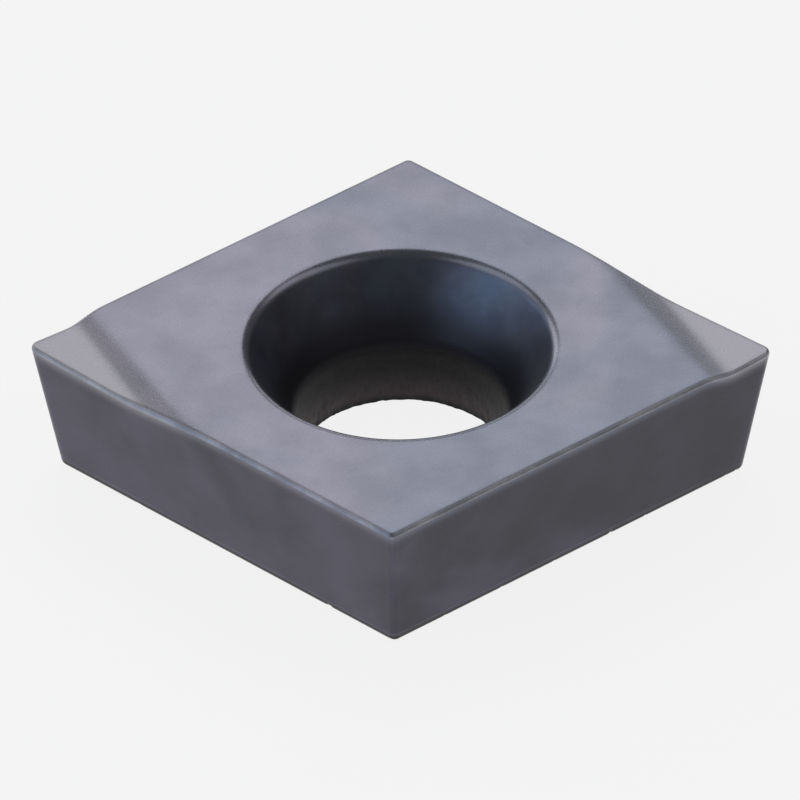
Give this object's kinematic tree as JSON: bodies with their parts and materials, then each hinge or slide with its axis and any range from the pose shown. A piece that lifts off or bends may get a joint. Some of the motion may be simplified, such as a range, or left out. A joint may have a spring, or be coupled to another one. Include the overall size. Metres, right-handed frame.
{
  "type": "carbide insert",
  "caption": "Small rhombic turning insert with relief on its flanks, a countersunk screw hole and a ground chip breaker groove across both cutting corners.",
  "frame": {"origin": "on the seat, where the axis of the screw hole meets it", "axes": "+X to one of the two 80 degree cutting corners, +Y to a blunt corner, +Z along the screw hole and out of the top face"},
  "size_m": [0.0096, 0.0082, 0.002],
  "materials": {
    "coated_carbide": "satin"
  },
  "bodies": {
    "root": {"insert_body": "coated_carbide"}
  },
  "joints": []
}
